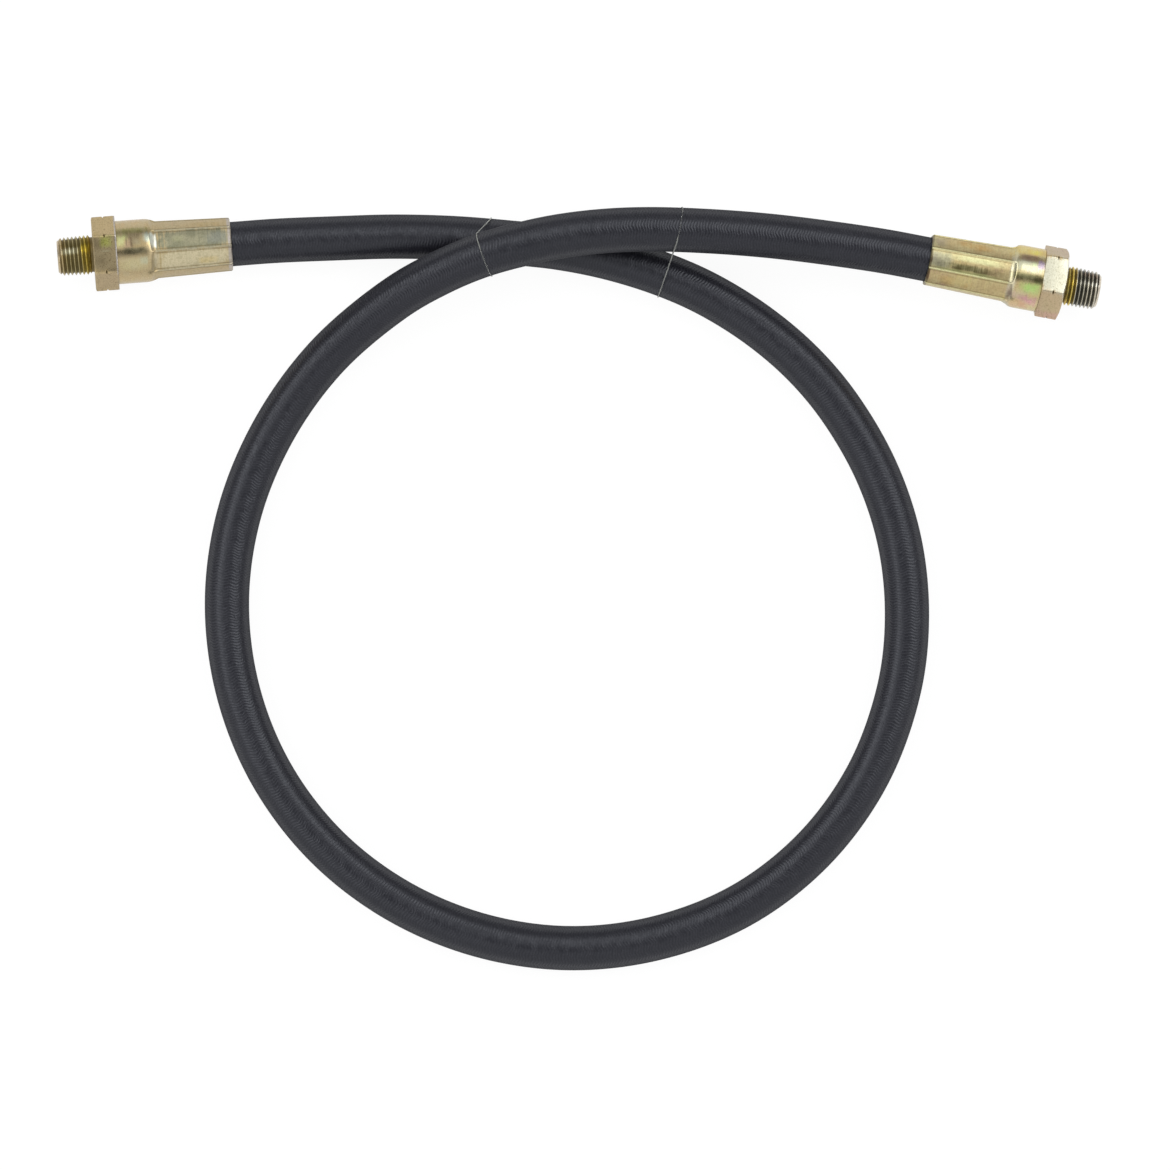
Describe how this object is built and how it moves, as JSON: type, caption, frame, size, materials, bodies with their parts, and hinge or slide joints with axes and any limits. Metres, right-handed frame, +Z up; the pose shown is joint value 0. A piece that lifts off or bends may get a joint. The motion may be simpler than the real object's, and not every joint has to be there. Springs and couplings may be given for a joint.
{
  "type": "hydraulic hose assembly",
  "caption": "Wire-braided rubber hydraulic hose lying in one open loop, with crimped ferrules and male taper-thread hexagon fittings, tied where the strands cross.",
  "frame": {"origin": "bottom centre of the box round the two end fittings, on the surface that the assembly lies on", "axes": "+X runs from the left fitting to the right one, +Z is up from the surface, and the loop of hose lies towards -Y"},
  "size_m": [0.3548, 0.2588, 0.0314],
  "materials": {
    "cover_rubber": "satin",
    "inner_rubber": "matte",
    "braid_wire": "satin",
    "yellow_zinc_steel": "satin",
    "clear_filament": "gloss"
  },
  "bodies": {
    "root": {"hose_inner_tube": "inner_rubber", "hose_inner_braid": "braid_wire", "hose_middle_layer": "inner_rubber", "hose_outer_braid": "braid_wire", "hose_outer_cover": "cover_rubber", "left_ferrule": "yellow_zinc_steel", "left_nipple": "yellow_zinc_steel", "right_ferrule": "yellow_zinc_steel", "right_nipple": "yellow_zinc_steel", "left_tie": "clear_filament", "right_tie": "clear_filament"}
  },
  "joints": []
}
